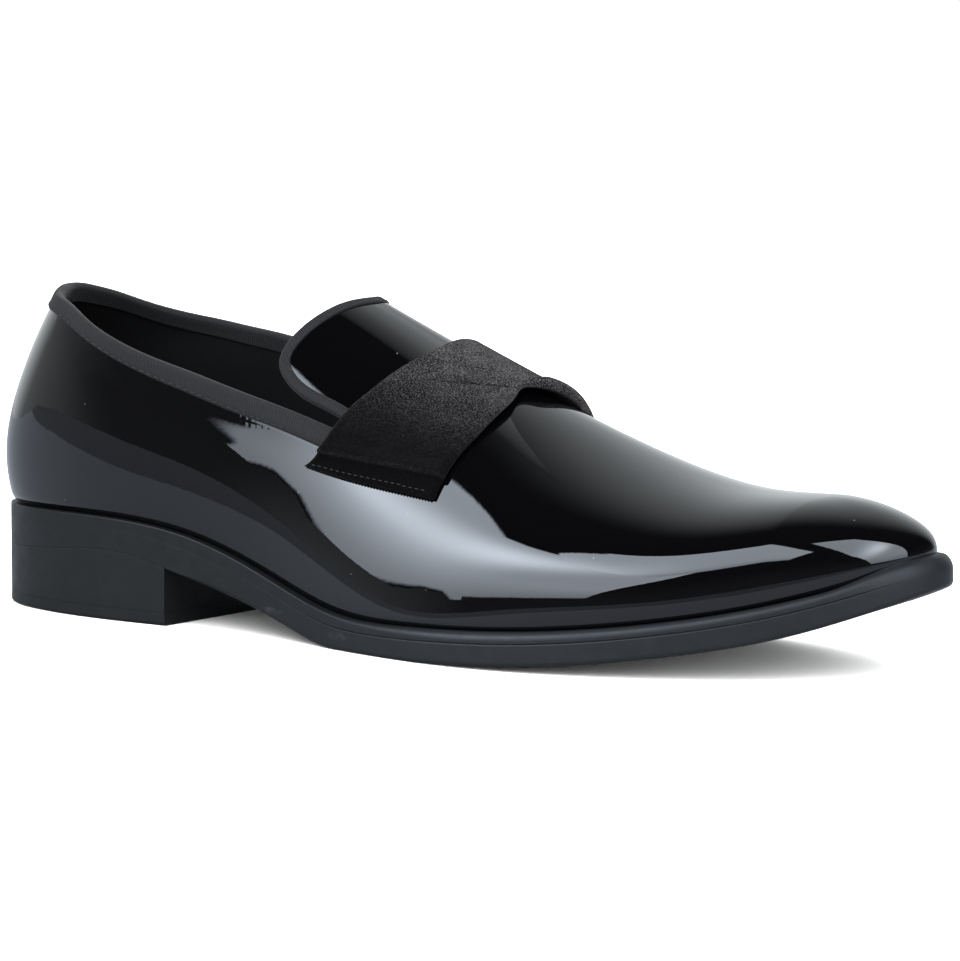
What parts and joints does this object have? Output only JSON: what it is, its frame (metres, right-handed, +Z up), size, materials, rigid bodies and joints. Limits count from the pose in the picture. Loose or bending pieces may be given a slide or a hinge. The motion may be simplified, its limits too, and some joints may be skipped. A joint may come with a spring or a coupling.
{
  "type": "loafer",
  "caption": "Black patent evening loafer with a velvet strap over the vamp, ribbed ribbon edges, a low heel and a sprung almond toe.",
  "frame": {"origin": "middle of the bounding box, on the floor under the sole", "axes": "+X toward the toe, +Y toward the inner side of the foot, +Z up"},
  "size_m": [0.3032, 0.0984, 0.0907],
  "materials": {
    "patent": "high gloss lacquer",
    "ribbon": "ribbed matt weave",
    "velvet": "napped velvet",
    "lining": "matt",
    "sole": "satin"
  },
  "bodies": {
    "root": {"upper": "patent", "collar_binding": "ribbon", "tongue_binding": "ribbon", "vamp_strap": "velvet", "insole": "lining", "midsole": "sole", "outsole": "sole", "heel_block": "sole", "heel_top_piece": "sole"}
  },
  "joints": []
}
